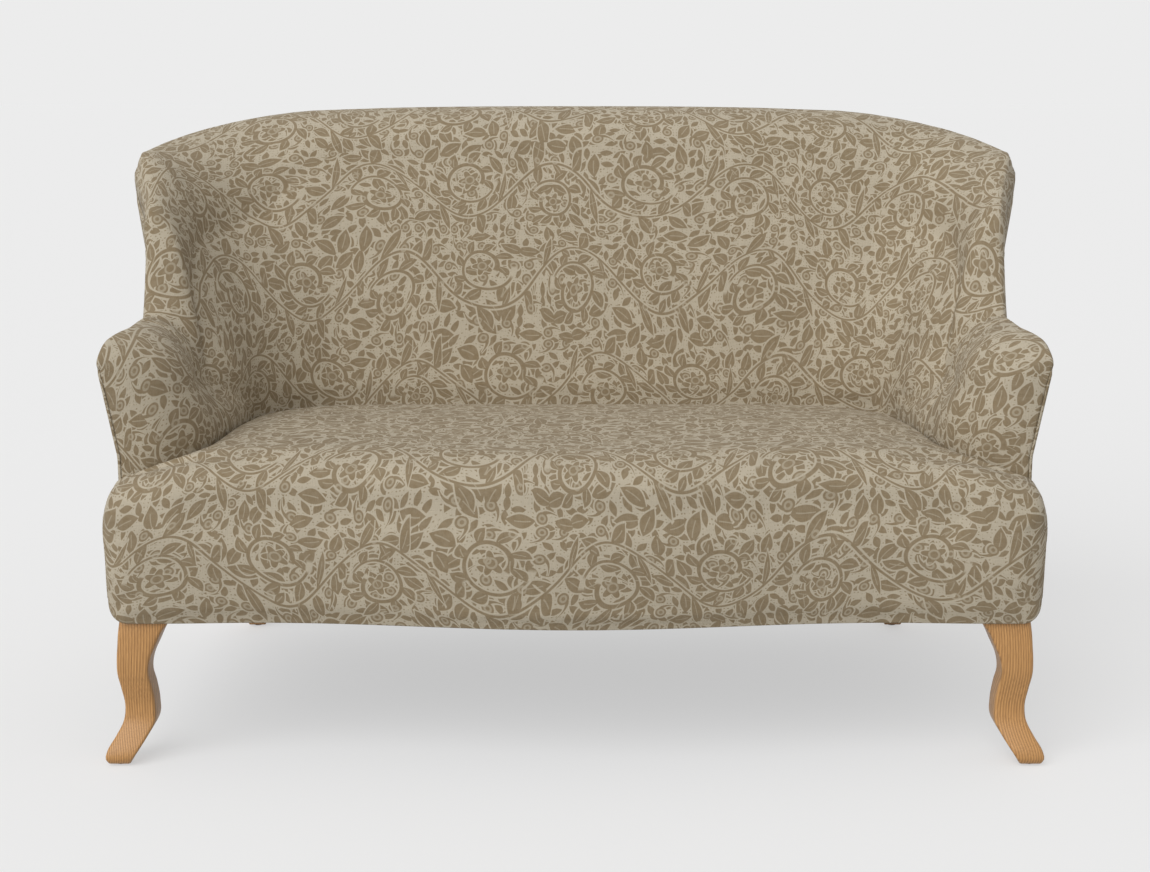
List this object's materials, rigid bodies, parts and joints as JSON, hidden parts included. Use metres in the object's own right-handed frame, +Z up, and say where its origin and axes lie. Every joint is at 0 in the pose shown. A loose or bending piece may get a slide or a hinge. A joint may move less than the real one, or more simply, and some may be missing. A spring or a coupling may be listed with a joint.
{
  "type": "high back settee",
  "caption": "Two-seat high back settee with wrap-round wings, low flared arms, a tight sprung seat and curved front legs.",
  "frame": {"origin": "on the floor, under the middle of the settee's width and depth", "axes": "+X to the left of somebody seated on it, +Y towards its back, +Z up"},
  "size_m": [1.539, 0.86, 0.982],
  "materials": {
    "upholstery": "woven linen with a small all-over print, matt",
    "foam": "open-cell foam",
    "felt": "needled felt",
    "webbing": "woven elastic strap",
    "dust_cloth": "thin non-woven cloth",
    "frame_wood": "planed, unfinished",
    "frame_board": "thin plywood, unfinished",
    "leg_wood": "light oak, satin",
    "steel": "zinc plated",
    "glide": "moulded nylon"
  },
  "bodies": {
    "root": {"seat_cover": "upholstery", "inside_back_cover": "upholstery", "outside_back_cover": "upholstery", "inside_arm_cover_left": "upholstery", "inside_arm_cover_right": "upholstery", "outside_arm_cover_left": "upholstery", "outside_arm_cover_right": "upholstery", "dust_cover": "dust_cloth", "seat_pad": "foam", "back_pad": "foam", "arm_pad_left": "foam", "arm_pad_right": "foam", "spring_insulator": "felt", "front_seat_rail": "frame_wood", "back_seat_rail": "frame_wood", "side_seat_rail_left": "frame_wood", "side_seat_rail_right": "frame_wood", "centre_cross_rail": "frame_wood", "front_corner_block_left": "frame_wood", "front_corner_block_right": "frame_wood", "rear_corner_block_left": "frame_wood", "rear_corner_block_right": "frame_wood", "arm_stump_left": "frame_wood", "arm_stump_right": "frame_wood", "arm_rail_left": "frame_wood", "arm_rail_right": "frame_wood", "arm_board_left": "frame_board", "arm_board_right": "frame_board", "wing_post_left": "frame_wood", "wing_post_right": "frame_wood", "wing_rail_left": "frame_wood", "wing_rail_right": "frame_wood", "back_upright_left": "frame_wood", "back_upright_right": "frame_wood", "centre_upright": "frame_wood", "crest_rail": "frame_wood", "lower_back_rail": "frame_wood", "back_web_1": "webbing", "back_web_2": "webbing", "back_web_3": "webbing", "seat_spring_1": "steel", "seat_spring_2": "steel", "seat_spring_3": "steel", "seat_spring_4": "steel", "seat_spring_5": "steel", "seat_spring_6": "steel", "front_leg_left": "leg_wood", "front_leg_right": "leg_wood", "rear_leg_left": "leg_wood", "rear_leg_right": "leg_wood", "front_leg_bolt_left": "steel", "front_leg_bolt_right": "steel", "rear_leg_bolt_left": "steel", "rear_leg_bolt_right": "steel", "front_glide_left": "glide", "front_glide_right": "glide", "rear_glide_left": "glide", "rear_glide_right": "glide"}
  },
  "joints": []
}
